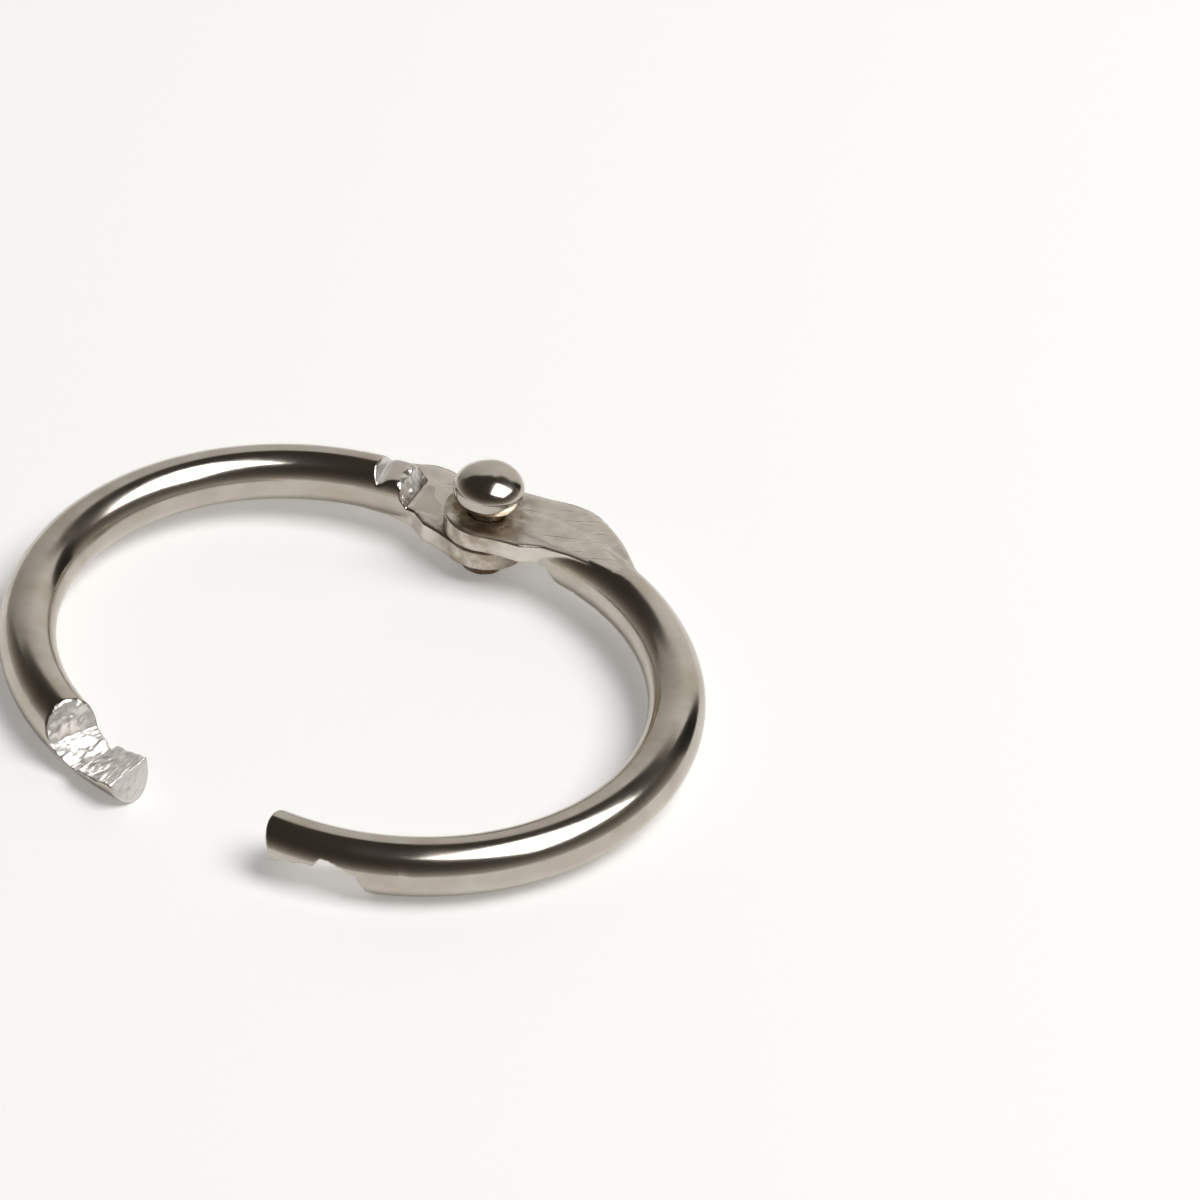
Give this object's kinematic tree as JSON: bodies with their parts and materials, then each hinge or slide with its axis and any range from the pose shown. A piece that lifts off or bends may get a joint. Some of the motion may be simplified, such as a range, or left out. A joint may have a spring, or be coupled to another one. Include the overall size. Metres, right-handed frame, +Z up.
{
  "type": "binder ring",
  "caption": "Hinged loose-leaf binder ring of round nickel-plated wire, lying open, with pressed tabs on a domed rivet and hooked snap ends",
  "frame": {"origin": "bottom centre of the bounding box of the open ring as it lies", "axes": "+X to the right along the open ring's length, +Y from the latch ends towards the hinge, +Z up"},
  "size_m": [0.0384, 0.0356, 0.0065],
  "materials": {
    "nickel_plate": "bright nickel plate, a little hazy",
    "rivet_plate": "bright nickel plate"
  },
  "bodies": {
    "lower_half": {"lower_arm": "nickel_plate", "rivet": "rivet_plate"},
    "upper_half": {"upper_arm": "nickel_plate"}
  },
  "joints": [
    {"name": "ring_hinge", "type": "hinge", "parent": "lower_half", "child": "upper_half", "pos_m": [0.00598, 0.01256, 0.00249], "axis": [-0.011, -0.0315, 0.9994], "range_deg": [-27, 93]}
  ]
}
